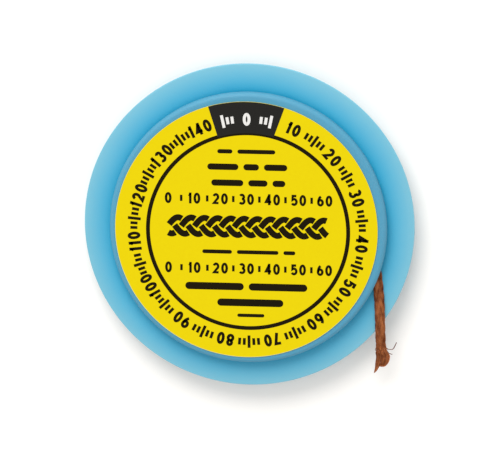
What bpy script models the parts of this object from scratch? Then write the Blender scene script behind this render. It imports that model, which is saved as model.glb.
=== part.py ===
"""A spool of desoldering braid, lying flat with its label up and the braid's free end out.

Metres, +Z up. The origin is on the spool's axis at the floor. +X points right and +Y up
as the label is read. The spool is a moulded dish with a brim, closed by a smaller disc
that carries the label. The braid is wound round the hub inside and comes out of the
narrow slot between the disc and the brim.
"""

import math

import bmesh
import bpy
from mathutils import Vector

MM = 0.001

# Running space left wherever two pieces only touch
CONTACT_GAP = 0.05 * MM

# Braid: the wound length, and the flat section of one strand of it
BRAID_LENGTH = 1500.0 * MM
BRAID_WIDTH = 1.6 * MM
BRAID_THICKNESS = 0.42 * MM
WOUND_ROWS = 2
ROW_SLACK = 0.05 * MM

# Dish: brim, foot and walls
BRIM_RADIUS = 25.0 * MM
BRIM_THICKNESS = 0.9 * MM
BRIM_FALL = 0.12 * MM
BRIM_LIP_RADIUS = 0.3 * MM
BRIM_OVERLAP = 1.6 * MM
FOOT_RADIUS = 19.0 * MM
FOOT_RING_WIDTH = 3.2 * MM
FOOT_RECESS_DEPTH = 0.35 * MM
FOOT_CORNER_RADIUS = 0.4 * MM
FLOOR_THICKNESS = 1.05 * MM
WALL_THICKNESS = 1.0 * MM
CHAMBER_HEADROOM = 0.4 * MM

# Hub: the tube that the braid is wound on
HUB_RADIUS = 12.4 * MM
HUB_WALL = 1.1 * MM

# Disc that closes the dish, and its boss inside the hub
DISC_RADIUS = 20.95 * MM
DISC_THICKNESS = 1.4 * MM
DISC_TOP_RADIUS = 1.0 * MM
DISC_BOTTOM_RADIUS = 0.2 * MM
SLOT_HEIGHT = 0.6 * MM
BOSS_LENGTH = 2.4 * MM
BOSS_WALL = 1.0 * MM
BOSS_FIT = 0.05 * MM

# Printed label on the disc, stuck on by hand a little to the lower left of its middle
LABEL_MARGIN = 1.12 * MM
LABEL_SHIFT = (-0.25 * MM, -0.14 * MM, 0.0)
LABEL_THICKNESS = 0.12 * MM

# Number of flat facets round a turned piece, in the quarter turn of a small edge and in
# the wider one of the disc's top edge
TURN_STEPS = 96
EDGE_STEPS = 3
DISC_EDGE_STEPS = 6

# Heights and radii that follow from the sizes above
WINDING_BASE = FOOT_RECESS_DEPTH + FLOOR_THICKNESS + CONTACT_GAP
WINDING_HEIGHT = WOUND_ROWS * BRAID_WIDTH
WINDING_BORE = HUB_RADIUS + CONTACT_GAP + ROW_SLACK
WINDING_RADIUS = math.sqrt(
    WINDING_BORE**2 + BRAID_LENGTH * BRAID_THICKNESS / (math.pi * WOUND_ROWS)
)
FLOOR_TOP = FOOT_RECESS_DEPTH + FLOOR_THICKNESS
DISC_BASE = WINDING_BASE + WINDING_HEIGHT + CHAMBER_HEADROOM
DISC_TOP = DISC_BASE + DISC_THICKNESS
BRIM_TOP = DISC_BASE - SLOT_HEIGHT
BRIM_BORE = DISC_RADIUS - BRIM_OVERLAP

# Route of the free end, in millimetres: it leaves the winding on edge, turns flat in the
# slot, crosses the brim and ends in the air just past it
TAIL_ROUTE = (
    (14.37, 7.64, 3.86),
    (15.29, 5.87, 3.88),
    (16.17, 4.07, 3.96),
    (16.97, 2.23, 4.12),
    (17.67, 0.36, 4.34),
    (18.27, -1.55, 4.56),
    (18.77, -3.48, 4.68),
    (19.12, -5.44, 4.71),
    (19.43, -7.41, 4.71),
    (19.66, -9.40, 4.71),
    (19.82, -11.39, 4.71),
    (19.90, -13.39, 4.70),
    (19.97, -15.39, 4.68),
    (20.05, -17.39, 4.62),
    (20.17, -19.38, 4.52),
    (20.24, -20.90, 4.41),
    (20.22, -22.20, 4.29),
)
TAIL_POINT_SPACING = 1.0 * MM
TAIL_ON_EDGE_FOR = 1.5 * MM
TAIL_FLAT_BY = 9.5 * MM
TAIL_EDGE_STEPS = 2


def clear_scene():
    """Remove every object, so that only the part is left."""
    for old in list(bpy.data.objects):
        bpy.data.objects.remove(old, do_unlink=True)


def material(name, colour, roughness, metallic=0.0):
    """Return a Principled material with one linear RGB colour."""
    made = bpy.data.materials.new(name)
    made.use_nodes = True
    shader = made.node_tree.nodes["Principled BSDF"]
    shader.inputs["Base Color"].default_value = (*colour, 1.0)
    shader.inputs["Roughness"].default_value = roughness
    shader.inputs["Metallic"].default_value = metallic
    made.diffuse_color = (*colour, 1.0)
    return made


def arc(centre, radius, start, end, steps=EDGE_STEPS):
    """Return (r, z) points on a circle from the start to the end angle, in degrees."""
    points = []
    for step in range(steps + 1):
        angle = math.radians(start + (end - start) * step / steps)
        points.append(
            (centre[0] + radius * math.cos(angle), centre[1] + radius * math.sin(angle))
        )
    return points


def turned(name, profile, closed, finish):
    """Turn an (r, z) profile, which runs down its outer side, about the Z axis."""
    mesh = bpy.data.meshes.new(name)
    shape = bmesh.new()
    corners = [shape.verts.new((r, 0.0, z)) for r, z in profile]
    for first, second in zip(corners, corners[1:]):
        shape.edges.new((first, second))
    if closed:
        shape.edges.new((corners[-1], corners[0]))
    shape.to_mesh(mesh)
    shape.free()
    piece = bpy.data.objects.new(name, mesh)
    bpy.context.scene.collection.objects.link(piece)
    screw = piece.modifiers.new("turn", "SCREW")
    screw.axis = "Z"
    screw.steps = TURN_STEPS
    screw.render_steps = TURN_STEPS
    screw.use_merge_vertices = True
    screw.merge_threshold = 0.000001
    screw.use_smooth_shade = True
    mesh.materials.append(finish)
    return piece


def spool_base(finish):
    """The dish: foot, flared wall and brim outside, hub tube and winding floor inside."""
    lip = BRIM_LIP_RADIUS
    brim_edge = BRIM_TOP - BRIM_FALL
    inner_wall_foot = FOOT_RADIUS - WALL_THICKNESS
    foot_inner = FOOT_RADIUS - FOOT_RING_WIDTH
    brim_underside = brim_edge - BRIM_THICKNESS
    under_brim = BRIM_BORE + WALL_THICKNESS
    profile = [(0.0, FLOOR_TOP), (HUB_RADIUS - HUB_WALL, FLOOR_TOP)]
    profile.append((HUB_RADIUS - HUB_WALL, DISC_BASE - CONTACT_GAP))
    profile.append((HUB_RADIUS, DISC_BASE - CONTACT_GAP))
    profile.append((HUB_RADIUS, FLOOR_TOP))
    profile.append((inner_wall_foot, FLOOR_TOP))
    profile.append((BRIM_BORE, BRIM_TOP - lip))
    profile.append((BRIM_BORE + lip, BRIM_TOP))
    profile.append((DISC_RADIUS, BRIM_TOP))
    profile.append(((DISC_RADIUS + BRIM_RADIUS) / 2, BRIM_TOP - BRIM_FALL / 3))
    profile += arc((BRIM_RADIUS - lip, brim_edge - lip), lip, 80, 0)
    profile += arc((BRIM_RADIUS - lip, brim_underside + lip), lip, 0, -90)
    profile.append((under_brim, brim_underside))
    profile += arc(
        (FOOT_RADIUS - FOOT_CORNER_RADIUS, FOOT_CORNER_RADIUS),
        FOOT_CORNER_RADIUS,
        -15,
        -90,
    )
    profile.append((foot_inner, 0.0))
    profile.append((foot_inner - FOOT_RECESS_DEPTH, FOOT_RECESS_DEPTH))
    profile.append((0.0, FOOT_RECESS_DEPTH))
    return turned("spool_base", profile, False, finish)


def spool_cap(finish):
    """The smaller disc that closes the dish, with the tubular boss that fits the hub."""
    boss = HUB_RADIUS - HUB_WALL - BOSS_FIT
    boss_end = DISC_BASE - BOSS_LENGTH
    top, bottom = DISC_TOP_RADIUS, DISC_BOTTOM_RADIUS
    profile = [(0.0, DISC_TOP)]
    profile += arc((DISC_RADIUS - top, DISC_TOP - top), top, 90, 0, DISC_EDGE_STEPS)
    profile += arc((DISC_RADIUS - bottom, DISC_BASE + bottom), bottom, 0, -90)
    profile.append((boss, DISC_BASE))
    profile.append((boss, boss_end))
    profile.append((boss - BOSS_WALL, boss_end))
    profile.append((boss - BOSS_WALL, DISC_BASE))
    profile.append((0.0, DISC_BASE))
    return turned("spool_cap", profile, False, finish)


def label(finish):
    """The round sticker that covers the disc's top up to its margin."""
    radius = DISC_RADIUS - LABEL_MARGIN
    underside = DISC_TOP + CONTACT_GAP
    profile = [
        (0.0, underside + LABEL_THICKNESS),
        (radius, underside + LABEL_THICKNESS),
        (radius, underside),
        (0.0, underside),
    ]
    sticker = turned("label", profile, False, finish)
    sticker.location = LABEL_SHIFT
    return sticker


def braid_winding(finish):
    """The wound braid as one turned ring: its rows stand on each other round the hub."""
    top = WINDING_BASE + WINDING_HEIGHT
    edge = BRAID_THICKNESS / 2
    profile = [(WINDING_BORE, top), (WINDING_RADIUS - edge, top)]
    profile.append((WINDING_RADIUS, top - edge))
    profile.append((WINDING_RADIUS, WINDING_BASE + edge))
    profile.append((WINDING_RADIUS - edge, WINDING_BASE))
    profile.append((WINDING_BORE, WINDING_BASE))
    return turned("braid_winding", profile, True, finish)


def smooth_route(route, spacing):
    """Return evenly spaced points on a Catmull-Rom curve through the route's points."""
    ends = (route[0] * 2 - route[1], route[-1] * 2 - route[-2])
    knots = [ends[0], *route, ends[1]]
    fine = []
    samples = 40
    for a, b, c, d in zip(knots, knots[1:], knots[2:], knots[3:]):
        for step in range(samples):
            t = step / samples
            fine.append(
                (
                    b * 2
                    + (c - a) * t
                    + (a * 2 - b * 5 + c * 4 - d) * t**2
                    + (b * 3 - a - c * 3 + d) * t**3
                )
                / 2
            )
    fine.append(route[-1])
    reach = [0.0]
    for first, second in zip(fine, fine[1:]):
        reach.append(reach[-1] + (second - first).length)
    count = max(2, round(reach[-1] / spacing))
    points = []
    index = 0
    for step in range(count + 1):
        wanted = reach[-1] * step / count
        while index < len(fine) - 2 and reach[index + 1] < wanted:
            index += 1
        share = (wanted - reach[index]) / (reach[index + 1] - reach[index])
        points.append((fine[index].lerp(fine[index + 1], share), wanted))
    return points


def turn_share(reach):
    """Return how far the braid has turned from on edge (0) to flat (1) at this length."""
    share = (reach - TAIL_ON_EDGE_FOR) / (TAIL_FLAT_BY - TAIL_ON_EDGE_FOR)
    share = min(1.0, max(0.0, share))
    return share * share * (3.0 - 2.0 * share)


def braid_tail(finish):
    """The free end of the braid: a flat band swept along its route and turned flat."""
    data = bpy.data.curves.new("braid_tail", "CURVE")
    data.dimensions = "3D"
    data.twist_mode = "Z_UP"
    data.extrude = (BRAID_WIDTH - BRAID_THICKNESS) / 2
    data.bevel_depth = BRAID_THICKNESS / 2
    data.bevel_resolution = TAIL_EDGE_STEPS
    data.use_fill_caps = True
    route = [Vector(point) * MM for point in TAIL_ROUTE]
    points = smooth_route(route, TAIL_POINT_SPACING)
    spline = data.splines.new("POLY")
    spline.points.add(len(points) - 1)
    for knot, (place, reach) in zip(spline.points, points):
        knot.co = (*place, 1.0)
        knot.tilt = math.radians(90.0) * turn_share(reach)
    piece = bpy.data.objects.new("braid_tail", data)
    bpy.context.scene.collection.objects.link(piece)
    data.materials.append(finish)
    return piece


def main():
    """Build the spool, its label and its braid under one empty on the spool's axis."""
    clear_scene()
    blue_plastic = material("blue_plastic", (0.085, 0.47, 0.69), 0.35)
    blue_disc = material("blue_disc", (0.12, 0.36, 0.52), 0.4)
    yellow_label = material("yellow_label", (0.93, 0.71, 0.006), 0.3)
    copper = material("copper", (0.55, 0.2, 0.11), 0.35, metallic=1.0)
    axis = bpy.data.objects.new("spool_axis", None)
    bpy.context.scene.collection.objects.link(axis)
    pieces = (
        spool_base(blue_plastic),
        spool_cap(blue_disc),
        label(yellow_label),
        braid_winding(copper),
        braid_tail(copper),
    )
    for piece in pieces:
        piece.parent = axis


main()
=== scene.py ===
"""A spool of desoldering braid: moulded plastic, printed label and woven copper wire.

Each sub-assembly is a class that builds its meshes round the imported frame's nodes and
dresses them. +X is the label's right, +Y its top, and +Z comes up out of it. Sizes in
fields are millimetres, and meshes are in metres.
"""

import logging
import math
from collections.abc import Sequence
from dataclasses import dataclass
from enum import Enum

import bmesh
import bpy
import numpy as np
from mathutils import Matrix, Vector


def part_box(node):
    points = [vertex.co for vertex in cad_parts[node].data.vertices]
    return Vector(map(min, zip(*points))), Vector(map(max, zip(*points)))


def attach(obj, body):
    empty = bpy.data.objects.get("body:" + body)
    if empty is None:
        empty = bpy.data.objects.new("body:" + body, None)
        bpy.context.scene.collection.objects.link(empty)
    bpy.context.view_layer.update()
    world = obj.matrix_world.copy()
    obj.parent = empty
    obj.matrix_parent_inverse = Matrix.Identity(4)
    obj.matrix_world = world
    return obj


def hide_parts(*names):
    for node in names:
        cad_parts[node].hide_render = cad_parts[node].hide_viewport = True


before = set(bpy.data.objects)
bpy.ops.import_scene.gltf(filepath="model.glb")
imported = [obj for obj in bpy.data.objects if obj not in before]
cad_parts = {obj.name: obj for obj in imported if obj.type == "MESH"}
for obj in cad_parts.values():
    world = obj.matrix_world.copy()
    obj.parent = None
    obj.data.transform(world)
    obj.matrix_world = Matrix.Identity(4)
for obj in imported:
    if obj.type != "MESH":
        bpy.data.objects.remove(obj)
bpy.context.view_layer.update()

MM = 0.001
ROOT = "root"
UP = Vector((0, 0, 1))

log = logging.getLogger("desoldering_braid")

Point = tuple[float, ...]


def linear(hex_colour: str) -> tuple[float, float, float, float]:
    """Turn an sRGB hex colour into linear RGBA.

    Args:
        hex_colour: a hash sign and six hex digits.

    Returns:
        Linear red, green and blue, and an alpha of 1.
    """
    channels = [int(hex_colour[start : start + 2], 16) / 255 for start in (1, 3, 5)]
    red, green, blue = (
        c / 12.92 if c <= 0.04045 else ((c + 0.055) / 1.055) ** 2.4 for c in channels
    )
    return red, green, blue, 1.0


def add_node(
    tree: bpy.types.NodeTree,
    kind: str,
    settings: dict[str | int, object] | None = None,
    links: dict[str | int, bpy.types.NodeSocket] | None = None,
) -> bpy.types.Node:
    """Add one node with its settings and links.

    Args:
        tree: the tree that gets the node.
        kind: the node's type.
        settings: values for its properties, or for its inputs by name or number.
        links: the output that feeds each named or numbered input.

    Returns:
        The new node.
    """
    node = tree.nodes.new(kind)
    for name, value in (settings or {}).items():
        if isinstance(name, str) and hasattr(node, name):
            setattr(node, name, value)
        else:
            node.inputs[name].default_value = value
    for name, source in (links or {}).items():
        tree.links.new(source, node.inputs[name])
    return node


def centred(
    tree: bpy.types.NodeTree, source: bpy.types.NodeSocket, spread: float
) -> bpy.types.NodeSocket:
    """Scale a value from 0 to 1 so that it runs from minus to plus half of a spread.

    Args:
        tree: the tree that gets the node.
        source: the value.
        spread: the difference between the least and the most that comes out.

    Returns:
        The scaled value.
    """
    settings = {"operation": "MULTIPLY_ADD", 1: spread, 2: -spread / 2}
    return add_node(tree, "ShaderNodeMath", settings, {0: source}).outputs[0]


def total(
    tree: bpy.types.NodeTree, first: bpy.types.NodeSocket, second: bpy.types.NodeSocket
) -> bpy.types.NodeSocket:
    """Add two values.

    Args:
        tree: the tree that gets the node.
        first: the first value.
        second: the second value.

    Returns:
        Their sum.
    """
    links = {0: first, 1: second}
    return add_node(tree, "ShaderNodeMath", {"operation": "ADD"}, links).outputs[0]


@dataclass(frozen=True)
class Finish:
    """A surface with two close colours, mixed by a grain that also varies its gloss.

    The grain's size is that of its largest patches, and the relief is its height.
    """

    name: str
    colour: str
    second_colour: str
    grain_mm: float
    roughness: float
    gloss_spread: float = 0.05
    detail: float = 3.0
    relief_mm: float = 0.0
    relief_strength: float = 0.6
    ior: float = 1.5
    specular: float = 0.5
    metallic: float = 0.0

    def share(
        self, tree: bpy.types.NodeTree, place: bpy.types.NodeSocket, grain: bpy.types.NodeSocket
    ) -> bpy.types.NodeSocket:
        """Return the share of the second colour, which the mix keeps between 0 and 1.

        Args:
            tree: the material's node tree.
            place: the point's place on the object, in metres.
            grain: the grain's value there.

        Returns:
            The output that mixes the two colours.
        """
        return grain

    def build(self) -> bpy.types.Material:
        """Build the material and return it."""
        material = bpy.data.materials.new(self.name)
        material.use_nodes = True
        tree = material.node_tree
        shader = tree.nodes["Principled BSDF"]
        place = add_node(tree, "ShaderNodeTexCoord").outputs["Object"]
        grain = add_node(
            tree,
            "ShaderNodeTexNoise",
            {"Scale": 1 / (self.grain_mm * MM), "Detail": self.detail},
            {"Vector": place},
        ).outputs["Fac"]
        colour = add_node(
            tree,
            "ShaderNodeMix",
            {"data_type": "RGBA", 6: linear(self.colour), 7: linear(self.second_colour)},
            {0: self.share(tree, place, grain)},
        )
        gloss = add_node(
            tree,
            "ShaderNodeMapRange",
            {
                "To Min": self.roughness - self.gloss_spread,
                "To Max": self.roughness + self.gloss_spread,
            },
            {"Value": grain},
        )
        tree.links.new(colour.outputs[2], shader.inputs["Base Color"])
        tree.links.new(gloss.outputs["Result"], shader.inputs["Roughness"])
        if self.relief_mm:
            relief = add_node(
                tree,
                "ShaderNodeBump",
                {"Distance": self.relief_mm * MM, "Strength": self.relief_strength},
                {"Height": grain},
            )
            tree.links.new(relief.outputs["Normal"], shader.inputs["Normal"])
        shader.inputs["Metallic"].default_value = self.metallic
        shader.inputs["IOR"].default_value = self.ior
        shader.inputs["Specular IOR Level"].default_value = self.specular
        self.refine(tree, shader)
        return material

    def refine(self, tree: bpy.types.NodeTree, shader: bpy.types.Node) -> None:
        """Add what only this kind of finish has; a plain finish adds nothing.

        Args:
            tree: the material's node tree.
            shader: its surface shader.
        """


@dataclass(frozen=True)
class MouldedPolypropylene(Finish):
    """Polypropylene, injection moulded in a polished tool.

    Light soaks a little way into it, and its gloss is soft and waxy. Its colour is painted
    deeper towards the middle, where other plastic backs it, as painted shade, and paler and
    milkier towards the thin outer edge as painted light shining through it.
    """

    # Radii where the painted shade is deepest and where the painted light at the edge is palest
    deep_radius_mm: float = 0.0
    pale_radius_mm: float = 1.0
    unevenness: float = 0.16
    soak_mm: float = 0.5
    soak_share: float = 0.15
    # How far red, green and blue light go, as shares of the depth above
    soak_colours: Point = (0.3, 0.9, 1.0)
    ior: float = 1.49

    def share(
        self, tree: bpy.types.NodeTree, place: bpy.types.NodeSocket, grain: bpy.types.NodeSocket
    ) -> bpy.types.NodeSocket:
        """Return how far the colour is painted paler towards the outer edge, from painted shade by
        the middle to painted light at the thin edge.

        Args:
            tree: the material's node tree.
            place: the point's place on the object, in metres.
            grain: the grain's value there, which makes the change uneven.

        Returns:
            The output that mixes the colour of the painted shade and that of the painted light.
        """
        level = add_node(
            tree, "ShaderNodeVectorMath", {"operation": "MULTIPLY", 1: (1, 1, 0)}, {0: place}
        )
        radius = add_node(
            tree, "ShaderNodeVectorMath", {"operation": "LENGTH"}, {0: level.outputs[0]}
        )
        # Painted shade by the middle turns to painted light towards the outer edge
        painted_light_share = add_node(
            tree,
            "ShaderNodeMapRange",
            {"From Min": self.deep_radius_mm * MM, "From Max": self.pale_radius_mm * MM},
            {"Value": radius.outputs["Value"]},
        )
        uneven = centred(tree, grain, self.unevenness)
        return total(tree, painted_light_share.outputs["Result"], uneven)

    def refine(self, tree: bpy.types.NodeTree, shader: bpy.types.Node) -> None:
        """Let light soak in, the blue end further than the red."""
        shader.inputs["Subsurface Weight"].default_value = self.soak_share
        shader.inputs["Subsurface Radius"].default_value = self.soak_colours
        shader.inputs["Subsurface Scale"].default_value = self.soak_mm * MM


@dataclass(frozen=True)
class DrawnCopper(Finish):
    """Fine drawn copper wire that was dipped in flux.

    Each wire has its own tone, from bright where it rubs to brown where flux and thin oxide sit.
    The flux lies on it as a faint clear coat. A mesh may hold an attribute that says how much
    browner it is in places: flux stains, and painted shade along the braid's two edges with
    painted light along its middle.
    """

    # The attribute's name; it holds flux stains and the braid's painted edge shade and middle
    # light
    stain_attribute: str = "flux"
    shade_spread: float = 0.4
    flux_share: float = 0.12
    flux_roughness: float = 0.35
    ior: float = 1.45
    metallic: float = 1.0

    def share(
        self, tree: bpy.types.NodeTree, place: bpy.types.NodeSocket, grain: bpy.types.NodeSocket
    ) -> bpy.types.NodeSocket:
        """Return how brown a wire is here.

        Args:
            tree: the material's node tree.
            place: the point's place on the object, in metres.
            grain: the grain's value there, which browns it in patches.

        Returns:
            The output that mixes the bright and the brown colour.
        """
        wire = add_node(tree, "ShaderNodeNewGeometry").outputs["Random Per Island"]
        shade = centred(tree, wire, self.shade_spread)
        # Flux stains, with painted shade along the braid's edges and painted light along its
        # middle
        flux = add_node(tree, "ShaderNodeAttribute", {"attribute_name": self.stain_attribute})
        return total(tree, total(tree, shade, flux.outputs["Fac"]), grain)

    def refine(self, tree: bpy.types.NodeTree, shader: bpy.types.Node) -> None:
        """Add the flux."""
        shader.inputs["Coat Weight"].default_value = self.flux_share
        shader.inputs["Coat Roughness"].default_value = self.flux_roughness


class Stock(Enum):
    """The finishes that the spool, its label and its braid are made in."""

    # The thin brim: deep sky blue by the disc as painted shade, pale and milky at its edge as
    # painted light shining through it, with flow marks some 7 mm long that are only just felt
    BRIM_PLASTIC = MouldedPolypropylene(
        "moulded_polypropylene_brim",
        "#249BC1",
        "#76AFBF",
        grain_mm=7.0,
        roughness=0.5,
        relief_mm=0.004,
        specular=0.3,
        deep_radius_mm=20.9,
        pale_radius_mm=25.6,
    )
    # The same plastic on the thick disc: painted greyer than the brim as painted shade where no
    # light shines through it, a touch paler over its rounded edge as painted light, more even and
    # a little duller
    DISC_PLASTIC = MouldedPolypropylene(
        "moulded_polypropylene_disc",
        "#468AA7",
        "#4E8EA8",
        grain_mm=7.0,
        roughness=0.55,
        relief_mm=0.004,
        specular=0.25,
        deep_radius_mm=19.0,
        pale_radius_mm=21.5,
    )
    # Offset ink over the whole face: even and satin, faintly mottled by the clumps of
    # fibres below, which are about 0.4 mm across
    YELLOW_INK = Finish(
        "offset_yellow_flood",
        "#D2BE00",
        "#CEB700",
        grain_mm=0.4,
        roughness=0.5,
        detail=4.0,
        relief_mm=0.002,
        specular=0.07,
    )
    # Machine-coated stock, bare at its cut edge but for a breath of the yellow ink: dull and pale.
    # The crescent of it bared at the label's lower left is a painted highlight along the edge. Its
    # grain of 0.15 mm is coarser than the real coating's, to show at all
    CUT_PAPER = Finish(
        "cut_paper_and_painted_glint", "#DCD68C", "#D0C878", grain_mm=0.15, roughness=0.7, specular=0.3
    )
    # Offset ink: dense, flat and faintly brown over the yellow, its gloss a little uneven
    BLACK_INK = Finish(
        "offset_black_ink", "#140E03", "#1A1304", grain_mm=0.2, roughness=0.5, specular=0.05
    )
    # The same ink as a tint over bare paper: a neutral, softer black
    CHARCOAL_INK = Finish(
        "offset_charcoal_ink", "#1C1B18", "#232220", grain_mm=0.2, roughness=0.5, specular=0.06
    )
    # The dark block's figures are left unprinted: the coating's white, slightly dulled
    WHITE_PAPER = Finish(
        "unprinted_coated_paper", "#D6D4D0", "#CCCAC6", grain_mm=0.3, roughness=0.5, specular=0.12
    )
    # Bright copper to flux brown, in stains about 0.9 mm long, with a soft metal sheen
    COPPER = DrawnCopper(
        "fluxed_drawn_copper",
        "#D08350",
        "#6C2E16",
        grain_mm=0.9,
        roughness=0.36,
        gloss_spread=0.08,
    )

    def made(self) -> bpy.types.Material:
        """Return this finish's material, built the first time it is asked for."""
        found = bpy.data.materials.get(self.value.name)
        return found or self.value.build()


def place_piece(
    name: str,
    mesh: bpy.types.Mesh,
    stock: Stock,
    replaces: str | None = None,
) -> bpy.types.Object:
    """Put a finished mesh in the scene as a piece of the spool.

    Args:
        name: the piece's name.
        mesh: its mesh, in metres.
        stock: its finish.
        replaces: the frame's node that it stands for, if it stands for one.

    Returns:
        The piece.
    """
    piece = bpy.data.objects.new(name, mesh)
    bpy.context.scene.collection.objects.link(piece)
    mesh.materials.append(stock.made())
    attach(piece, ROOT)
    if replaces:
        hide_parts(replaces)
    log.info("%s: %d faces", name, len(mesh.polygons))
    return piece


def rounded(corners: Sequence[Point], step_deg: float = 12.0) -> list[Point]:
    """Round the corners of an open profile.

    Args:
        corners: the radius, height and corner rounding of each corner, in millimetres.
        step_deg: the turn of one facet of a rounded corner.

    Returns:
        The profile's points as radius and height, in millimetres.
    """
    points: list[Point] = [tuple(corners[0][:2])]
    for before, corner, after in zip(corners, corners[1:], corners[2:]):
        here = Vector(corner[:2])
        to_before = (Vector(before[:2]) - here).normalized()
        to_after = (Vector(after[:2]) - here).normalized()
        half = to_before.angle(to_after) / 2
        if corner[2] == 0:
            points.append(tuple(here))
            continue
        middle = here + (to_before + to_after).normalized() * (corner[2] / math.sin(half))
        arm = here + to_before * (corner[2] / math.tan(half)) - middle
        side = 1 if to_before.cross(to_after) < 0 else -1
        sweep = side * (math.pi - 2 * half)
        count = max(2, round(math.degrees(abs(sweep)) / step_deg))
        for step in range(count + 1):
            turn = sweep * step / count
            cos, sin = math.cos(turn), math.sin(turn)
            points.append(
                (
                    middle.x + arm.x * cos - arm.y * sin,
                    middle.y + arm.x * sin + arm.y * cos,
                )
            )
    points.append(tuple(corners[-1][:2]))
    return points


def turned(name: str, profile: Sequence[Point], steps: int = 256) -> bpy.types.Mesh:
    """Turn an open profile, which begins and ends on the axis, into a closed mesh.

    Args:
        name: the mesh's name.
        profile: radius and height of each point, in millimetres.
        steps: the number of facets round it.

    Returns:
        The mesh, in metres, shaded smooth but for its sharp edges.
    """
    shape = bmesh.new()
    rings: list[list[bmesh.types.BMVert]] = []
    for radius, height in profile:
        count = steps if radius > 0 else 1
        angles = [2 * math.pi * step / steps for step in range(count)]
        rings.append(
            [
                shape.verts.new(
                    (radius * MM * math.cos(a), radius * MM * math.sin(a), height * MM)
                )
                for a in angles
            ]
        )
    for upper, lower in zip(rings, rings[1:]):
        for step in range(steps):
            after = (step + 1) % steps
            loop = (
                upper[step % len(upper)],
                lower[step % len(lower)],
                lower[after % len(lower)],
                upper[after % len(upper)],
            )
            shape.faces.new(list(dict.fromkeys(loop)))
    return closed_mesh(name, shape, smooth=True)


# Faces that meet at more than this angle keep a sharp edge when they are shaded smooth
SHARP_EDGE_DEG = 32.0


def closed_mesh(name: str, shape: bmesh.types.BMesh, smooth: bool) -> bpy.types.Mesh:
    """Turn closed shells into a mesh with its faces pointing out.

    Args:
        name: the mesh's name.
        shape: the shells, which are freed.
        smooth: True to shade it smooth but for its sharp edges.

    Returns:
        The mesh.
    """
    bmesh.ops.recalc_face_normals(shape, faces=shape.faces[:])
    mesh = bpy.data.meshes.new(name)
    shape.to_mesh(mesh)
    shape.free()
    if smooth:
        mesh.shade_smooth()
        mesh.set_sharp_from_angle(angle=math.radians(SHARP_EDGE_DEG))
    return mesh


def skin(
    shape: bmesh.types.BMesh, rings: Sequence[list[bmesh.types.BMVert]], loop: bool = False
) -> None:
    """Close a shell round a run of rings that have as many points each.

    Args:
        shape: the shells that it joins.
        rings: the points of each ring, in order.
        loop: True if the last ring joins the first, False to cap both ends.
    """
    pairs = list(zip(rings, rings[1:]))
    if loop:
        pairs.append((rings[-1], rings[0]))
    else:
        shape.faces.new(rings[0])
        shape.faces.new(rings[-1][::-1])
    for near, far in pairs:
        for low in range(len(near)):
            high = (low + 1) % len(near)
            shape.faces.new((near[low], near[high], far[high], far[low]))


@dataclass
class SpoolDish:
    """The dish: foot, flared wall and brim, with the hub and the winding floor inside."""

    brim_thickness: float = 0.9
    brim_fall: float = 0.12
    brim_overlap: float = 1.6
    brim_land: float = 0.25
    brim_draft: float = 0.28
    slot: float = 0.6
    disc_thickness: float = 1.4
    foot_radius: float = 19.0
    foot_ring: float = 3.2
    foot_recess: float = 0.35
    floor: float = 1.05
    wall: float = 1.0
    hub_radius: float = 12.4
    hub_wall: float = 1.1
    ejector_radius: float = 1.5
    ejector_height: float = 0.06
    ejector_circle: float = 8.5
    ejector_count: int = 4
    gate_radius: float = 0.8
    gate_height: float = 0.22
    mark_root: float = 0.05
    mark_steps: int = 48

    def profile(self) -> list[Point]:
        """Return the dish's profile as radius and height, in millimetres."""
        low, high = (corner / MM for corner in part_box("spool_base"))
        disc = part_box("spool_cap")[1] / MM
        brim_top = disc.z - self.disc_thickness - self.slot
        edge = brim_top - self.brim_fall
        under = edge - self.brim_thickness
        bore = disc.x - self.brim_overlap
        floor_top = self.foot_recess + self.floor
        hub_inside = self.hub_radius - self.hub_wall
        foot_inside = self.foot_radius - self.foot_ring
        return rounded(
            [
                (0, floor_top, 0),
                (hub_inside, floor_top, 0.25),
                (hub_inside, high.z, 0.12),
                (self.hub_radius, high.z, 0.12),
                (self.hub_radius, floor_top, 0.25),
                (self.foot_radius - self.wall, floor_top, 0.5),
                (bore, brim_top, 0.35),
                (disc.x, brim_top, 0),
                ((disc.x + high.x) / 2, brim_top - self.brim_fall / 3, 0),
                (high.x, edge, 0.12),
                (high.x, edge - self.brim_land, 0.1),
                (high.x - self.brim_draft, under, 0.3),
                (bore + self.wall, under, 0.8),
                (self.foot_radius, low.z, 0.4),
                (foot_inside, low.z, 0.12),
                (foot_inside - self.foot_recess, self.foot_recess, 0.2),
                (0, self.foot_recess, 0),
            ]
        )

    def build(self) -> None:
        """Build the dish and the marks that its mould left underneath."""
        place_piece(
            "spool_dish",
            turned("spool_dish", self.profile()),
            Stock.BRIM_PLASTIC,
            "spool_base",
        )
        place_piece("mould_marks", self.mould_marks(), Stock.BRIM_PLASTIC)

    def mould_marks(self) -> bpy.types.Mesh:
        """Return the low ejector pads and the gate's stub in the foot's recess."""
        shape = bmesh.new()
        self.add_mark(shape, 0.0, 0.0, self.gate_radius, self.gate_height)
        for index in range(self.ejector_count):
            angle = 2 * math.pi * (index + 0.5) / self.ejector_count
            x = self.ejector_circle * math.cos(angle)
            y = self.ejector_circle * math.sin(angle)
            self.add_mark(shape, x, y, self.ejector_radius, self.ejector_height)
        return closed_mesh("mould_marks", shape, smooth=True)

    def add_mark(
        self, shape: bmesh.types.BMesh, x: float, y: float, radius: float, height: float
    ) -> None:
        """Add one round mark, which is rooted in the recess and narrows downwards.

        Args:
            shape: the shells that it joins.
            x: the place of its middle, in millimetres.
            y: the place of its middle.
            radius: its radius at its root.
            height: how far it stands out.
        """
        middle = self.foot_recess + (self.mark_root - height) / 2
        bmesh.ops.create_cone(
            shape,
            cap_ends=True,
            segments=self.mark_steps,
            radius1=(radius - height) * MM,
            radius2=radius * MM,
            depth=(self.mark_root + height) * MM,
            matrix=Matrix.Translation(Vector((x, y, middle)) * MM),
        )


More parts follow.
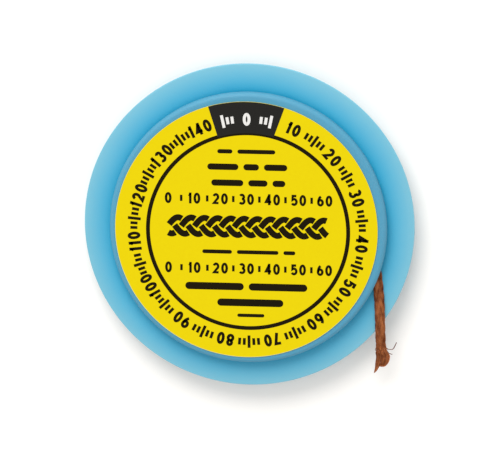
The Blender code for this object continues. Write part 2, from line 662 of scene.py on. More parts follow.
@dataclass
class SpoolDisc:
    """The smaller disc that closes the dish, with the boss that fits the hub."""

    thickness: float = 1.4
    edge_round: float = 0.7
    boss_radius: float = 11.25
    boss_wall: float = 1.0

    def build(self) -> None:
        """Build the disc."""
        low, high = (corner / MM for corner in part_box("spool_cap"))
        base = high.z - self.thickness
        inside = self.boss_radius - self.boss_wall
        profile = rounded(
            [
                (0, high.z, 0),
                (high.x, high.z, self.edge_round),
                (high.x, base, 0.2),
                (self.boss_radius, base, 0.2),
                (self.boss_radius, low.z, 0.25),
                (inside, low.z, 0.12),
                (inside, base, 0.2),
                (0, base, 0),
            ]
        )
        place_piece(
            "spool_disc",
            turned("spool_disc", profile),
            Stock.DISC_PLASTIC,
            "spool_cap",
        )


# The angle between two points of a digit's bow
BOW_STEP_DEG = 15


def bow(
    across: float, upward: float, wide: float, tall: float, start: float, end: float
) -> list[Point]:
    """Return points on part of an ellipse.

    Args:
        across: the middle's x.
        upward: the middle's y.
        wide: half of its width.
        tall: half of its height.
        start: the first angle, in degrees anticlockwise from +X.
        end: the last angle.

    Returns:
        The points, both ends included.
    """
    count = max(2, round(abs(end - start) / BOW_STEP_DEG))
    angles = [math.radians(start + (end - start) * step / count) for step in range(count + 1)]
    return [(across + wide * math.cos(a), upward + tall * math.sin(a)) for a in angles]


# The width of a digit, and of the digit one, and the gap between two, as shares of their
# height
DIGIT_WIDTH = 0.6
NARROW_DIGIT_WIDTH = 0.34
DIGIT_GAP = 0.14

# Plain upright digits as pen strokes in a box one wide and one high; True marks a ring
DIGIT_LINES: dict[str, tuple[tuple[list[Point], bool], ...]] = {
    "0": ((bow(0.5, 0.5, 0.5, 0.5, 0, 345), True),),
    "1": (([(0.0, 0.72), (0.7, 1.0)], False), ([(0.7, 1.14), (0.7, -0.12)], False)),
    "2": (([*bow(0.48, 0.7, 0.48, 0.3, 165, -35), (0.0, 0.0), (1.08, 0.0)], False),),
    "3": (
        (bow(0.46, 0.76, 0.44, 0.24, 150, -90), False),
        (bow(0.46, 0.27, 0.54, 0.27, 90, -150), False),
    ),
    "4": (
        ([(0.74, 1.14), (0.74, -0.12)], False),
        ([(0.74, 1.0), (0.0, 0.25), (1.2, 0.25)], False),
    ),
    "5": (
        (
            [(0.96, 1.0), (0.14, 1.0), (0.08, 0.55), *bow(0.46, 0.32, 0.54, 0.32, 115, -150)],
            False,
        ),
    ),
    "6": (
        (bow(0.5, 0.3, 0.5, 0.3, 0, 345), True),
        (bow(0.86, 0.3, 0.86, 0.74, 178, 108), False),
    ),
    "7": (([(-0.1, 1.0), (1.0, 1.0), (0.36, -0.12)], False),),
    "8": (
        (bow(0.5, 0.77, 0.42, 0.23, 0, 345), True),
        (bow(0.5, 0.27, 0.5, 0.27, 0, 345), True),
    ),
    "9": (
        (bow(0.5, 0.7, 0.5, 0.3, 0, 345), True),
        (bow(0.14, 0.7, 0.86, 0.74, -2, -72), False),
    ),
}


def clockwise(degrees: float) -> Vector:
    """Return the direction at an angle clockwise from the label's top."""
    angle = math.radians(degrees)
    return Vector((math.sin(angle), math.cos(angle)))


def arc_points(
    centre: Vector, radius: float, start: float, end: float, count: int = 24
) -> list[Vector]:
    """Return evenly spaced points on part of a circle.

    Args:
        centre: the circle's centre, in millimetres.
        radius: its radius.
        start: the first angle in degrees, clockwise from the label's top.
        end: the last angle.
        count: the number of steps between them.

    Returns:
        The points, both ends included.
    """
    angles = (start + (end - start) * step / count for step in range(count + 1))
    return [centre + clockwise(angle) * radius for angle in angles]


# Where the points of a half-round end lie along it, from the tip to where it is widest
ROUND_END_SHARES = (0.015, 0.13, 0.29, 0.5, 0.75, 1.0)

# The number of straight pieces in a long arc
ARC_STEPS = 240

# A mitred corner reaches out by at most the inverse of this
LEAST_MITRE = 0.5


class PrintLayer:
    """One ink's shapes, gathered in one thin mesh on the label."""

    def __init__(self, name: str, ink: Stock, underside: float, top: float) -> None:
        """Start an empty layer.

        Args:
            name: the name of its piece.
            ink: its finish.
            underside: the height of its underside, in millimetres.
            top: the height of its top, in millimetres.
        """
        self.name = name
        self.ink = ink
        self.underside = underside
        self.top = top
        self.shape = bmesh.new()

    def band(self, first: Sequence[Vector], second: Sequence[Vector], ring: bool = False) -> None:
        """Add a band between two lines with as many points.

        Args:
            first: the line along its one side, in millimetres.
            second: the line along its other side.
            ring: True if its end joins its start.
        """
        rings = [
            [
                self.shape.verts.new((edge.x * MM, edge.y * MM, height * MM))
                for edge, height in (
                    (one, self.underside),
                    (one, self.top),
                    (other, self.top),
                    (other, self.underside),
                )
            ]
            for one, other in zip(first, second)
        ]
        skin(self.shape, rings, ring)

    def stroke(self, line: Sequence[Vector], widths: Sequence[float], ring: bool = False) -> None:
        """Add a stroke of changing width, with mitred corners.

        Args:
            line: the stroke's middle line, in millimetres.
            widths: its width at each point of the line, in millimetres.
            ring: True if its end joins its start.
        """
        last = len(line) - 1
        sides = []
        for index, (point, width) in enumerate(zip(line, widths)):
            come = (point - line[index - 1]).normalized() if ring or index else None
            leave = (line[(index + 1) % len(line)] - point).normalized()
            if not ring and index == last:
                leave = come
            come = come or leave
            run = (come + leave).normalized()
            stretch = max(LEAST_MITRE, run.dot(leave))
            sides.append(Vector((-run.y, run.x)) * (width / 2 / stretch))
        self.band(
            [point + side for point, side in zip(line, sides)],
            [point - side for point, side in zip(line, sides)],
            ring,
        )

    def bar(self, start: Vector, end: Vector, width: float, round_ends: bool = True) -> None:
        """Add a straight bar.

        Args:
            start: the middle of its first end, in millimetres.
            end: the middle of its last end.
            width: its width.
            round_ends: True for half-round ends, False for square ones.
        """
        if not round_ends:
            self.stroke([start, end], [width, width])
            return
        run = end - start
        cap = width / 2 / run.length
        stops = [(cap * s, width * math.sqrt(1 - (1 - s) ** 2)) for s in ROUND_END_SHARES]
        stops += [(1 - share, wide) for share, wide in reversed(stops)]
        self.stroke([start + run * s for s, _ in stops], [wide for _, wide in stops])

    def arc(self, centre: Vector, radius: float, width: float, start: float, end: float) -> None:
        """Add a stroke along a circle.

        Args:
            centre: the circle's centre, in millimetres.
            radius: its radius.
            width: the stroke's width.
            start: its first angle in degrees, clockwise from the label's top.
            end: its last angle; a full turn makes a ring.
        """
        line = arc_points(centre, radius, start, end, ARC_STEPS)
        ring = end - start >= 360
        if ring:
            line.pop()
        self.stroke(line, [width] * len(line), ring)

    def numeral(self, value: int, height: float, weight: float, place: Matrix) -> None:
        """Add a plain number.

        Args:
            value: the number.
            height: its digits' height, in millimetres.
            weight: the width of its strokes.
            place: moves the number from the origin, where it stands on the X axis with
                its middle at x = 0, to its place in millimetres.
        """
        digits = str(value)
        wide = [
            height * (NARROW_DIGIT_WIDTH if digit == "1" else DIGIT_WIDTH) for digit in digits
        ]
        start = -(sum(wide) + DIGIT_GAP * height * (len(digits) - 1)) / 2
        inset = weight / 2
        for digit, width in zip(digits, wide):
            for shape, ring in DIGIT_LINES[digit]:
                line = []
                for x, y in shape:
                    across = start + inset + x * (width - weight)
                    upward = inset + y * (height - weight)
                    line.append((place @ Vector((across, upward, 0))).to_2d())
                self.stroke(line, [weight] * len(line), ring)
            start += width + DIGIT_GAP * height

    def build(self) -> None:
        """Make the layer's piece."""
        mesh = closed_mesh(self.name, self.shape, smooth=False)
        place_piece(self.name, mesh, self.ink)


class Weight(Enum):
    """How heavy a printed row is: its bars' thickness as a share of the row's height."""

    FINE = 0.38
    PLAIN = 0.52
    BOLD = 0.66


@dataclass
class LabelLine:
    """One line of print in the label's middle, placed by its ends and middle height."""

    left: float
    right: float
    middle: float
    height: float

    def draw(self, layer: PrintLayer) -> None:
        """Draw the line; each kind of line does it in its own way.

        Args:
            layer: the layer that it is drawn on.
        """
        raise NotImplementedError


@dataclass
class PrintedRow(LabelLine):
    """A row of bars as long as words."""

    weight: Weight
    words: tuple[float, ...]
    gap: float = 0.75

    def draw(self, layer: PrintLayer) -> None:
        """Draw the row's bars on a layer."""
        free = self.right - self.left - self.gap * (len(self.words) - 1)
        unit = free / sum(self.words)
        start = self.left
        for word in self.words:
            end = start + word * unit
            ends = (Vector((start, self.middle)), Vector((end, self.middle)))
            layer.bar(*ends, self.height * self.weight.value)
            start = end + self.gap


@dataclass
class PrintedRule(LabelLine):
    """A numbered rule: plain numbers with a graduation half way between two of them."""

    numbers: tuple[int, ...] = (0, 10, 20, 30, 40, 50, 60)
    line_width: float = 0.38
    tick_share: float = 0.55

    def draw(self, layer: PrintLayer) -> None:
        """Draw the rule's numbers and its graduations on a layer."""
        pitch = (self.right - self.left) / (len(self.numbers) - 1)
        foot = self.middle - self.height / 2
        half_tick = Vector((0, self.height * self.tick_share / 2))
        for index, value in enumerate(self.numbers):
            x = self.left + index * pitch
            place = Matrix.Translation((x, foot, 0))
            layer.numeral(value, self.height, self.line_width, place)
            if index:
                tick = Vector((x - pitch / 2, self.middle))
                layer.bar(tick - half_tick, tick + half_tick, self.line_width, False)


@dataclass
class PrintedPlait(LabelLine):
    """A flat plait of three strands, drawn with gaps where one passes under another."""

    strand: float = 0.95
    period: float = 6.0
    strands: int = 3
    # Angles on a strand's own wave: it passes under another at the crossing and at every
    # half wave after it, and is hidden so far to both sides
    crossing_deg: float = -30.0
    hidden_deg: float = 27.0
    run_steps: int = 12

    def draw(self, layer: PrintLayer) -> None:
        """Draw the plait's strands on a layer."""
        swing = (self.height - self.strand) / 2
        half_waves = round(2 * (self.right - self.left) / self.period)
        for strand in range(self.strands):
            shift = 360 * strand / self.strands
            for half_wave in range(-2, half_waves + 2):
                start = half_wave * 180 + self.crossing_deg + self.hidden_deg
                self.draw_run(layer, start, start + 180 - 2 * self.hidden_deg, shift, swing)

    def draw_run(
        self, layer: PrintLayer, start: float, end: float, shift: float, swing: float
    ) -> None:
        """Draw one strand from where it comes up to where it goes under.

        Args:
            layer: the layer that it is drawn on.
            start: the wave's angle where the run starts, in degrees.
            end: the wave's angle where it ends.
            shift: how far this strand's wave is shifted, in degrees.
            swing: how far the strand swings from the middle, in millimetres.
        """
        line = []
        for step in range(self.run_steps + 1):
            angle = start + (end - start) * step / self.run_steps
            x = self.left + (angle + shift) / 360 * self.period
            if self.left <= x <= self.right:
                line.append(Vector((x, self.middle + swing * math.sin(math.radians(angle)))))
        if len(line) > 2:
            layer.stroke(line, [self.strand] * len(line))


@dataclass
class Label:
    """The round sticker: yellow coated paper with black print.

    The print is generic: a length dial in centimetres round the edge, which starts in
    the dark block at the top, and rows of bars, rules and a plait inside the ring line.
    It was printed a little off the sticker's middle. Each ink stands a little higher
    than what it covers, so that no two faces coincide.
    """

    paper_thickness: float = 0.1
    ink_thickness: float = 0.008
    # The yellow's margin short of the paper's cut edge, and its shift, which bares a crescent of
    # paper at the lower left as a painted highlight
    flood_margin: float = 0.027
    flood_shift: Point = (0.015, 0.022)
    print_x: float = 0.03
    print_y: float = -0.26
    ring_radius: float = 15.12
    ring_width: float = 0.6
    # The block's two ends on the ring line, and those on the label's edge
    block_inner: Point = (-17.4, 14.85)
    block_outer: Point = (-16.7, 16.9)
    block_margin: float = 0.03
    dial_zero: float = -0.6
    dial_length: int = 150
    dial_step: int = 10
    # Graduations stand only where the numbers leave them room, and the fifth is long
    dial_ticks: tuple[int, ...] = (3, 4, 5, 6, 7)
    block_ticks: tuple[int, ...] = (3, 4, 5)
    long_tick: int = 5
    short_tick_share: float = 0.55
    tick_width: float = 0.44
    digit_height: float = 1.95
    digit_foot: float = 16.28
    digit_weight: float = 0.45
    lines: tuple[LabelLine, ...] = (
        PrintedRow(-4.56, 4.15, 12.02, 1.69, Weight.FINE, (2, 5)),
        PrintedRow(-6.07, 5.96, 9.64, 1.85, Weight.PLAIN, (4, 2, 3)),
        PrintedRow(-5.48, 5.67, 7.18, 1.85, Weight.PLAIN, (5, 3, 2)),
        PrintedRule(-12.0, 11.6, 4.69, 1.72),
        PrintedPlait(-12.0, 12.0, 0.40, 3.49),
        PrintedRow(-6.87, 7.20, -3.52, 1.56, Weight.FINE, (5, 7, 2)),
        PrintedRule(-12.0, 11.6, -6.09, 1.72),
        PrintedRow(-9.46, 9.03, -8.92, 1.72, Weight.BOLD, (1, 1)),
        PrintedRow(-4.61, 5.41, -11.41, 1.72, Weight.BOLD, (1,)),
        PrintedRow(-1.57, 2.53, -13.40, 1.0, Weight.PLAIN, (1,)),
    )

    def build(self) -> None:
        """Build the paper, the yellow over it and the print over that."""
        low, high = (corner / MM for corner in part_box("label"))
        middle = ((low + high) / 2).to_2d()
        radius = (high.x - low.x) / 2
        top = low.z + self.paper_thickness
        ink = self.ink_thickness
        paper = self.sheet("label_paper", radius, low.z, top, middle)
        place_piece("label_paper", paper, Stock.CUT_PAPER, "label")
        # The yellow stops just short of the cut edge and is shifted, baring a thin crescent of
        # paper at the lower left as a painted highlight along the label's edge
        flood_radius = radius - self.flood_margin
        flood_middle = middle + Vector(self.flood_shift)
        flood = self.sheet("label_yellow", flood_radius, top - ink, top + ink / 2, flood_middle)
        place_piece("label_yellow", flood, Stock.YELLOW_INK)
        black = PrintLayer("label_black", Stock.BLACK_INK, top - ink, top + ink)
        block = PrintLayer("label_block", Stock.CHARCOAL_INK, top - ink, top + ink * 1.5)
        white = PrintLayer("label_white", Stock.WHITE_PAPER, top, top + ink * 2)
        centre = Vector((self.print_x, self.print_y))
        black.arc(centre, self.ring_radius, self.ring_width, 0, 360)
        block.band(
            arc_points(centre, self.ring_radius, *self.block_inner),
            arc_points(middle, radius - self.block_margin, *self.block_outer),
        )
        self.draw_dial(black, white, centre)
        for line in self.lines:
            line.draw(black)
        for layer in (black, block, white):
            layer.build()

    def sheet(
        self, name: str, radius: float, underside: float, top: float, middle: Vector
    ) -> bpy.types.Mesh:
        """Return a thin round sheet.

        Args:
            name: the mesh's name.
            radius: its radius, in millimetres.
            underside: the height of its underside.
            top: the height of its top.
            middle: the place of its middle.

        Returns:
            The sheet's mesh.
        """
        mesh = turned(name, [(0, top), (radius, top), (radius, underside), (0, underside)])
        mesh.transform(Matrix.Translation(middle.to_3d() * MM))
        return mesh

    def draw_dial(self, black: PrintLayer, white: PrintLayer, centre: Vector) -> None:
        """Draw the dial's numbers and graduations.

        Args:
            black: the layer of everything outside the dark block.
            white: the layer of what stands in the dark block.
            centre: the dial's centre, in millimetres.
        """
        middle = self.digit_foot + self.digit_height / 2
        for value in range(0, self.dial_length, self.dial_step):
            angle = self.dial_zero + 360 * value / self.dial_length
            foot = centre + clockwise(angle) * self.digit_foot
            turn = Matrix.Rotation(-math.radians(angle), 4, "Z")
            place = Matrix.Translation(foot.to_3d()) @ turn
            layer = black if value else white
            layer.numeral(value, self.digit_height, self.digit_weight, place)
            inside = 0 < value < self.dial_length - self.dial_step
            for tick in self.dial_ticks if inside else ():
                self.draw_tick(black, centre, angle + 360 * tick / self.dial_length, middle, tick)
        for tick in self.block_ticks:
            angle = self.dial_zero + 360 * tick / self.dial_length
            self.draw_tick(white, centre, angle, middle, tick)
            self.draw_tick(white, centre, 2 * self.dial_zero - angle, middle, tick)

    def draw_tick(
        self, layer: PrintLayer, centre: Vector, angle: float, middle: float, tick: int
    ) -> None:
        """Draw one graduation.

        Args:
            layer: the layer that it is drawn on.
            centre: the dial's centre, in millimetres.
            angle: its angle in degrees, clockwise from the label's top.
            middle: the radius of its middle.
            tick: its number of units after the last figure.
        """
        ray = clockwise(angle)
        share = 1.0 if tick == self.long_tick else self.short_tick_share
        half = self.digit_height * share / 2
        layer.bar(
            centre + ray * (middle - half), centre + ray * (middle + half), self.tick_width, False
        )


# The number of samples between two knots of a smooth line, from which its even points
# are taken
KNOT_SAMPLES = 20

# Faces of a wire that meet at more than this angle, at its cut ends, stay sharp
WIRE_SHARP_DEG = 75.0


def smooth_line(knots: Sequence[Vector], count: int) -> list[Vector]:
    """Return evenly spaced points on a Catmull-Rom curve through the knots.

    Args:
        knots: the points that it goes through.
        count: the number of steps between them.

    Returns:
        The points, the first and last knots included.
    """
    ends = (knots[0] * 2 - knots[1], knots[-1] * 2 - knots[-2])
    run = [ends[0], *knots, ends[1]]
    fine: list[Vector] = []
    for a, b, c, d in zip(run, run[1:], run[2:], run[3:]):
        for step in range(KNOT_SAMPLES):
            t = step / KNOT_SAMPLES
            bend = b * 2 + (c - a) * t + (a * 2 - b * 5 + c * 4 - d) * t**2
            fine.append((bend + (b * 3 - a - c * 3 + d) * t**3) / 2)
    fine.append(knots[-1])
    reach = [0.0]
    for first, second in zip(fine, fine[1:]):
        reach.append(reach[-1] + (second - first).length)
    points: list[Vector] = []
    index = 0
    for step in range(count + 1):
        wanted = reach[-1] * step / count
        while index < len(fine) - 2 and reach[index + 1] < wanted:
            index += 1
        share = (wanted - reach[index]) / (reach[index + 1] - reach[index])
        points.append(fine[index].lerp(fine[index + 1], share))
    return points


def tube_mesh(
    name: str, paths: np.ndarray, radius: float, sides: int, stains_and_shade: np.ndarray
) -> bpy.types.Mesh:
    """Sweep round wires along paths.

    Args:
        name: the mesh's name.
        paths: points in metres, indexed by wire, point and axis.
        radius: the wires' radius in metres.
        sides: the number of facets round a wire.
        stains_and_shade: how much browner than usual each wire is at each point.

    Returns:
        One mesh with a closed, capped tube for each wire.
    """
    wires, points, _ = paths.shape
    runs = np.gradient(paths, axis=1)
    runs /= np.linalg.norm(runs, axis=2, keepdims=True)
    normals = np.zeros_like(paths)
    normal = np.tile((0.0, 0.0, 1.0), (wires, 1))
    for index in range(points):
        run = runs[:, index]
        normal = normal - run * np.sum(normal * run, axis=1, keepdims=True)
        normal /= np.linalg.norm(normal, axis=1, keepdims=True)
        normals[:, index] = normal
    binormals = np.cross(runs, normals)
    turns = 2 * np.pi * np.arange(sides) / sides
    ring = (
        normals[:, :, None] * np.cos(turns)[:, None]
        + binormals[:, :, None] * np.sin(turns)[:, None]
    )
    places = paths[:, :, None] + ring * radius
    index = np.arange(wires * points * sides).reshape(wires, points, sides)
    near, far = index[:, :-1], index[:, 1:]
    quads = np.stack(
        (near, np.roll(near, -1, axis=2), np.roll(far, -1, axis=2), far), axis=-1
    ).reshape(-1, 4)
    caps = np.concatenate((index[:, 0, ::-1], index[:, -1]))
    mesh = bpy.data.meshes.new(name)
    mesh.from_pydata(places.reshape(-1, 3).tolist(), [], quads.tolist() + caps.tolist())
    mesh.shade_smooth()
    mesh.set_sharp_from_angle(angle=math.radians(WIRE_SHARP_DEG))
    shades = mesh.attributes.new(DrawnCopper.stain_attribute, "FLOAT", "POINT")
    shades.data.foreach_set("value", np.repeat(stains_and_shade.ravel(), sides))
    return mesh


@dataclass(frozen=True)
class WireGroup:
    """A group of wires at the frayed tip.

    Each knot of its line is x, y, z and half its width, in millimetres in the object's
    frame. The wires of a tuft stand alone.
    """

    wires: int
    line: tuple[Point, ...]
    is_tuft: bool = False


class Fray(Enum):
    """The groups that the wires part into at the frayed tip, from left to right.

    The straight group tapers to a point, the middle one ends early, the folded one
    swells and hooks back, and two small tufts stick out on the right.
    """

    STRAIGHT = WireGroup(
        23,
        (
            (19.74, -19.30, 4.52, 0.42),
            (19.82, -19.95, 4.48, 0.42),
            (19.66, -20.90, 4.42, 0.38),
            (19.56, -21.50, 4.37, 0.31),
            (19.34, -22.16, 4.32, 0.18),
            (19.10, -22.60, 4.28, 0.03),
        ),
    )
    MIDDLE = WireGroup(
        10,
        (
            (20.08, -19.30, 4.54, 0.46),
            (20.12, -19.95, 4.48, 0.50),
            (20.02, -20.80, 4.43, 0.38),
            (19.97, -21.35, 4.39, 0.12),
        ),
    )
    FOLDED = WireGroup(
        26,
        (
            (20.58, -19.20, 4.54, 0.50),
            (20.86, -19.80, 4.50, 0.60),
            (20.78, -20.60, 4.44, 0.56),
            (20.49, -21.32, 4.40, 0.44),
            (20.19, -21.50, 4.50, 0.26),
            (20.14, -21.15, 4.66, 0.12),
        ),
    )
    SHORT_TUFT = WireGroup(
        2,
        (
            (21.12, -19.18, 4.50, 0.06),
            (21.40, -19.42, 4.49, 0.05),
            (21.82, -19.56, 4.47, 0.03),
        ),
        is_tuft=True,
    )
    LONG_TUFT = WireGroup(
        3,
        (
            (21.02, -18.66, 4.54, 0.06),
            (21.35, -18.76, 4.52, 0.05),
            (21.95, -18.68, 4.47, 0.05),
            (22.46, -17.64, 4.50, 0.03),
        ),
        is_tuft=True,
    )


@dataclass
class BraidTail:
    """The braid's free end, plaited from fine wires and frayed at its tip.

    The wires run in flat bundles, called carriers, both ways round a flattened tube, two
    over and two under. The braid leaves the winding on edge, turns flat in the slot and
    crosses the brim.
    """

    length: float = 31.0
    width: float = 1.6
    end_radius: float = 0.11
    on_edge_for: float = 1.5
    flat_by: float = 9.5
    step: float = 0.16
    # The plait: carriers one way round, the length of one turn of a carrier, and shares
    # of the wire's diameter for its swing in and out and for the pitch between wires
    carriers: int = 8
    wires_each: int = 4
    lay: float = 13.0
    wire: float = 0.085
    sides: int = 6
    swing_share: float = 0.71
    pitch_share: float = 1.06
    # How far each wire wanders sideways in the plait, and the least and the most length
    # that one radian of its wander takes
    wander: float = 0.012
    wander_length: Point = (0.9, 2.0)
    # How much darker the braid's edges are painted as painted shade and how much paler its middle
    # as painted light, and how much browner the flux makes the patches along a carrier and the
    # tufts
    edge_stain: float = 0.55
    middle_paleness: float = 0.3
    patch_stain: float = 0.3
    patch_length: float = 0.9
    tuft_stain: float = 0.7
    # The fray: how far wires change places on entering it and how far each first keeps
    # its own direction, in millimetres; how its layers rise and stray, as shares of the
    # group's half width; and where in its last stretch each wire ends
    fray_length: float = 3.7
    fray_steps: int = 30
    mingling: float = 0.1
    own_run: Point = (0.1, 0.6)
    layer_rise: float = 0.3
    stray: float = 0.045
    last_stretch: Point = (0.6, 1.0)
    seed: int = 7
    # The route of its middle line in metres, from the winding to the tip
    route: tuple[Point, ...] = (
        (0.01437, 0.00764, 0.00386),
        (0.01529, 0.00587, 0.00388),
        (0.01617, 0.00407, 0.00396),
        (0.01697, 0.00223, 0.00412),
        (0.01767, 0.00036, 0.00434),
        (0.01827, -0.00155, 0.00456),
        (0.01877, -0.00348, 0.00468),
        (0.01912, -0.00544, 0.00471),
        (0.01943, -0.00741, 0.00471),
        (0.01966, -0.00940, 0.00471),
        (0.01982, -0.01139, 0.00471),
        (0.01990, -0.01339, 0.00470),
        (0.01997, -0.01539, 0.00468),
        (0.02005, -0.01739, 0.00462),
        (0.02017, -0.01938, 0.00452),
        (0.02024, -0.02090, 0.00441),
        (0.02022, -0.02220, 0.00429),
    )

    def build(self) -> None:
        woven, stains_and_shade = self.woven_paths()
        frayed, tip_stains = self.frayed_paths(woven)
        mesh = tube_mesh(
            "braid_tail_wires",
            np.concatenate((woven, frayed), axis=1) * MM,
            self.wire / 2 * MM,
            self.sides,
            np.concatenate((stains_and_shade, tip_stains), axis=1),
        )
        piece = place_piece("braid_tail_wires", mesh, Stock.COPPER, "braid_tail")

    def course(self) -> tuple[np.ndarray, np.ndarray, np.ndarray, np.ndarray]:
        """Return the middle line of the plaited stretch and how the band lies along it.

        Returns:
            For each of its points, the place, the distance from the winding, and the
            directions across the band and through it.
        """
        knots = [Vector(point) / MM for point in self.route]
        line = np.array(smooth_line(knots, round(self.length / self.step)))
        reach = np.concatenate(([0], np.cumsum(np.linalg.norm(np.diff(line, axis=0), axis=1))))
        keep = reach <= reach[-1] - self.fray_length
        line, reach = line[keep], reach[keep]
        run = np.gradient(line, axis=0)
        run /= np.linalg.norm(run, axis=1, keepdims=True)
        side = np.cross(UP, run)
        side /= np.linalg.norm(side, axis=1, keepdims=True)
        upward = np.cross(run, side)
        turn = np.clip((reach - self.on_edge_for) / (self.flat_by - self.on_edge_for), 0, 1)
        tilt = (np.pi / 2 * turn * turn * (3 - 2 * turn))[:, None]
        across = np.cos(tilt) * upward + np.sin(tilt) * side
        return line, reach, across, np.cross(run, across)

    def woven_paths(self) -> tuple[np.ndarray, np.ndarray]:
        """Return the plaited stretch of every wire.

        Returns:
            Its points in millimetres, indexed by wire, point and axis, and how much
            browner than usual it is at each of them.
        """
        line, reach, across, through = self.course()
        rng = np.random.default_rng(self.seed)
        crossings = 2 * self.carriers * reach / self.lay
        swing = self.swing_share * self.wire
        flat = self.width - 2 * self.end_radius - self.wire - 2 * swing
        perimeter = 2 * flat + 2 * np.pi * self.end_radius
        pitch = self.wire * self.pitch_share
        patches = np.arange(0, reach[-1] + self.patch_length, self.patch_length)
        paths, stains_and_shade = [], []
        for way in (1, -1):
            for carrier in range(self.carriers):
                # The half gives the same lift at two crossings in a row: two over, two under
                phase = 2 * carrier + way * crossings - 0.5
                lift = way * swing * np.cos(np.pi / 2 * phase)
                patchy = np.interp(reach, patches, rng.uniform(-1, 1, len(patches)))
                for wire in range(self.wires_each):
                    beside = (wire - (self.wires_each - 1) / 2) * pitch
                    waves = reach / rng.uniform(*self.wander_length) + rng.uniform(0, 6)
                    along = perimeter * (way * reach / self.lay + carrier / self.carriers)
                    place = self.on_section(along + beside + self.wander * np.sin(waves), flat)
                    offset = place[:, :2] + place[:, 2:] * lift[:, None]
                    paths.append(line + across * offset[:, :1] + through * offset[:, 1:])
                    # Painted shade darkens the wires towards the braid's edges and painted light
                    # pales them along its middle; the patches are flux stains
                    towards_edge = (np.abs(offset[:, 0]) / (self.width / 2)) ** 3
                    stain_and_shade = self.edge_stain * (towards_edge - self.middle_paleness)
                    stains_and_shade.append(stain_and_shade + self.patch_stain * patchy)
        return np.array(paths), np.array(stains_and_shade)

    def on_section(self, along: np.ndarray, flat: float) -> np.ndarray:
        """Find points on the middle line of the braid's wall, seen in section.

        Args:
            along: distances round the flattened tube, in millimetres.
            flat: the length of each of its two flat sides.

        Returns:
            For each point, its place across and through the braid, and the outward
            direction there, both as two numbers.
        """
        radius = self.end_radius
        half = flat + np.pi * radius
        rest = np.mod(along, 2 * half)
        sign = np.where(rest < half, 1.0, -1.0)
        rest = np.mod(rest, half)
        angle = np.clip(rest - flat, 0, None) / radius
        across = np.minimum(rest, flat) - flat / 2 + radius * np.sin(angle)
        through = radius * np.cos(angle)
        return np.stack((across, through, np.sin(angle), np.cos(angle)), axis=1) * sign[:, None]

    def frayed_paths(self, woven: np.ndarray) -> tuple[np.ndarray, np.ndarray]:
        """Carry every wire on from the plait into its group at the tip.

        Args:
            woven: the plaited stretches, in millimetres.

        Returns:
            The frayed stretches and how much browner each is, laid out the same way.
        """
        rng = np.random.default_rng(self.seed + 1)
        frayed = np.zeros((len(woven), self.fray_steps, 3))
        stains_and_shade = np.zeros(frayed.shape[:2])
        mingled = woven[:, -1, 0] + rng.normal(0, self.mingling, len(woven))
        order = np.argsort(mingled).tolist()
        for group in (member.value for member in Fray):
            members, order = order[: group.wires], order[group.wires :]
            for rank, wire in enumerate(members):
                start = Vector(woven[wire, -1])
                knots = [start]
                if not group.is_tuft:
                    run = (start - Vector(woven[wire, -3])).normalized()
                    knots.append(start + run * rng.uniform(*self.own_run))
                sway = 2 * (rank + 0.5) / group.wires - 1
                rise = self.layer_rise * (1 - rank % 3)
                for x, y, z, half in group.line:
                    stray = Vector(rng.uniform(-self.stray, self.stray, 3))
                    knots.append(Vector((x, y, z)) + (Vector((sway, 0, rise)) + stray) * half)
                stain_and_shade = self.tuft_stain
                if not group.is_tuft:
                    knots[-1] = knots[-2].lerp(knots[-1], rng.uniform(*self.last_stretch))
                    stain_and_shade = rng.uniform(-1, 1) * self.patch_stain
                frayed[wire] = smooth_line(knots, self.fray_steps)[1:]
                stains_and_shade[wire] = stain_and_shade
        return frayed, stains_and_shade


@dataclass
class BraidWinding:
    """The wound braid: rows of flat turns on edge, one row on the other, round the hub."""

    rows: int = 2
    thickness: float = 0.42
    slack: float = 0.02
    edge_share: float = 0.7
    steps_a_turn: int = 96

    def build(self) -> None:
        """Build the rows as spirals that fill the frame's node."""
        low, high = (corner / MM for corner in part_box("braid_winding"))
        bore = self.bore()
        row_height = (high.z - low.z) / self.rows
        shape = bmesh.new()
        for row in range(self.rows):
            base = low.z + row * row_height
            self.add_spiral(shape, bore, high.x, base, base + row_height - self.slack)
        mesh = closed_mesh("braid_turns", shape, smooth=True)
        place_piece("braid_turns", mesh, Stock.COPPER, "braid_winding")

    def bore(self) -> float:
        """Return the radius of the winding's bore in the frame, in millimetres."""
        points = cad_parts["braid_winding"].data.vertices
        return min(math.hypot(point.co.x, point.co.y) for point in points) / MM

    def add_spiral(
        self, shape: bmesh.types.BMesh, bore: float, outside: float, base: float, top: float
    ) -> None:
        """Add one row of turns.

        Args:
            shape: the shells that it joins.
            bore: the radius of the row's bore, in millimetres.
            outside: its outer radius.
            base: the height of its underside.
            top: the height of its top.
        """
        half = (self.thickness - self.slack) / 2
        edge = half * self.edge_share
        section = [
            (-half, base + edge),
            (-half, top - edge),
            (-half + edge, top),
            (half - edge, top),
            (half, top - edge),
            (half, base + edge),
            (half - edge, base),
            (-half + edge, base),
        ]
        turns = (outside - bore - self.thickness) / self.thickness
        count = round(turns * self.steps_a_turn)
        rings = []
        for step in range(count + 1):
            angle = 2 * math.pi * step / self.steps_a_turn
            cos, sin = math.cos(angle), math.sin(angle)
            radius = bore + self.thickness * (0.5 + step / self.steps_a_turn)
            rings.append(
                [
                    shape.verts.new(((radius + r) * MM * cos, (radius + r) * MM * sin, z * MM))
                    for r, z in section
                ]
            )
        skin(shape, rings)


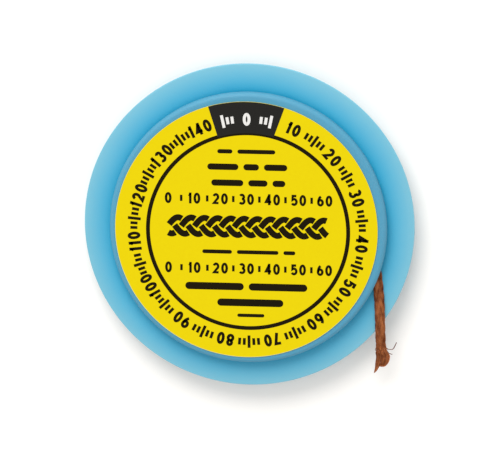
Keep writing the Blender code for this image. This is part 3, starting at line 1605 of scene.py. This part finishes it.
@dataclass
class Studio:
    """The camera at the photo's angle, a white floor and soft light from the label's top."""

    # The camera looks down on the target from the direction of tilt, and framing moves
    # it to the right and upwards in its own picture
    target: Point = (0.0, 0.0, 4.2)
    tilt: Point = (0.0933, 0.259, 1.0)
    distance: float = 600.1
    framing: Point = (0.131, -0.958)
    lens: float = 286.24
    # The lamp's and the floor's sizes are in metres, and azimuth is anticlockwise from +X
    sky: float = 0.92
    key_power: float = 79.5
    key_size: float = 2.2
    key_distance: float = 3.0
    key_azimuth: float = 103.0
    key_elevation: float = 37.0
    floor_size: float = 8.0
    # Warm white paper without any sheen, so far under the foot, in millimetres
    floor_depth: float = 0.02
    floor_paper: Finish = Finish("matte_white_paper", "#F5F2EE", "#F3F0EC", 4.0, 0.9, specular=0.0)

    def build(self) -> None:
        """Set up the camera, the floor and the lights."""
        self.camera()
        self.floor()
        self.light()
        bpy.context.scene.view_settings.view_transform = "Standard"
        log.info("studio: camera, floor and lights")

    def camera(self) -> None:
        """Place the camera; +Y is up in its picture."""
        back = Vector(self.tilt).normalized()
        right = Vector((0, 1, 0)).cross(back).normalized()
        upward = back.cross(right)
        aim = Vector(self.target) + right * self.framing[0] + upward * self.framing[1]
        lens = bpy.data.cameras.new("camera")
        lens.lens = self.lens
        lens.sensor_width = 36.0
        lens.clip_start = 0.01
        lens.clip_end = 50.0
        eye = bpy.data.objects.new("camera", lens)
        turn = Matrix((right, upward, back)).transposed().to_4x4()
        eye.matrix_world = Matrix.Translation((aim + back * self.distance) * MM) @ turn
        bpy.context.scene.collection.objects.link(eye)
        bpy.context.scene.camera = eye

    def floor(self) -> None:
        """Lay a wide sheet of matte white paper just under the foot."""
        half = self.floor_size / 2
        shape = bmesh.new()
        corners = [(-half, -half), (half, -half), (half, half), (-half, half)]
        level = -self.floor_depth * MM
        shape.faces.new([shape.verts.new((x, y, level)) for x, y in corners])
        mesh = bpy.data.meshes.new("paper_floor")
        shape.to_mesh(mesh)
        shape.free()
        sheet = bpy.data.objects.new("paper_floor", mesh)
        bpy.context.scene.collection.objects.link(sheet)
        mesh.materials.append(self.floor_paper.build())

    def light(self) -> None:
        """Fill the room with even light and hang one large soft lamp."""
        world = bpy.data.worlds.new("studio")
        world.use_nodes = True
        background = world.node_tree.nodes["Background"].inputs
        background["Color"].default_value = (1, 1, 1, 1)
        background["Strength"].default_value = self.sky
        bpy.context.scene.world = world
        lamp = bpy.data.lights.new("softbox", "AREA")
        lamp.shape = "DISK"
        lamp.size = self.key_size
        lamp.energy = self.key_power
        box = bpy.data.objects.new("softbox", lamp)
        azimuth, elevation = math.radians(self.key_azimuth), math.radians(self.key_elevation)
        ray = Vector(
            (
                math.cos(azimuth) * math.cos(elevation),
                math.sin(azimuth) * math.cos(elevation),
                math.sin(elevation),
            )
        )
        box.location = ray * self.key_distance
        box.rotation_mode = "QUATERNION"
        box.rotation_quaternion = ray.to_track_quat("Z", "Y")
        box.visible_camera = False
        bpy.context.scene.collection.objects.link(box)


def main() -> None:
    """Build every sub-assembly in order."""
    logging.basicConfig(level=logging.INFO, format="%(message)s")
    Studio().build()
    BraidTail().build()
    BraidWinding().build()
    SpoolDish().build()
    SpoolDisc().build()
    Label().build()


if __name__ == "__main__":
    main()
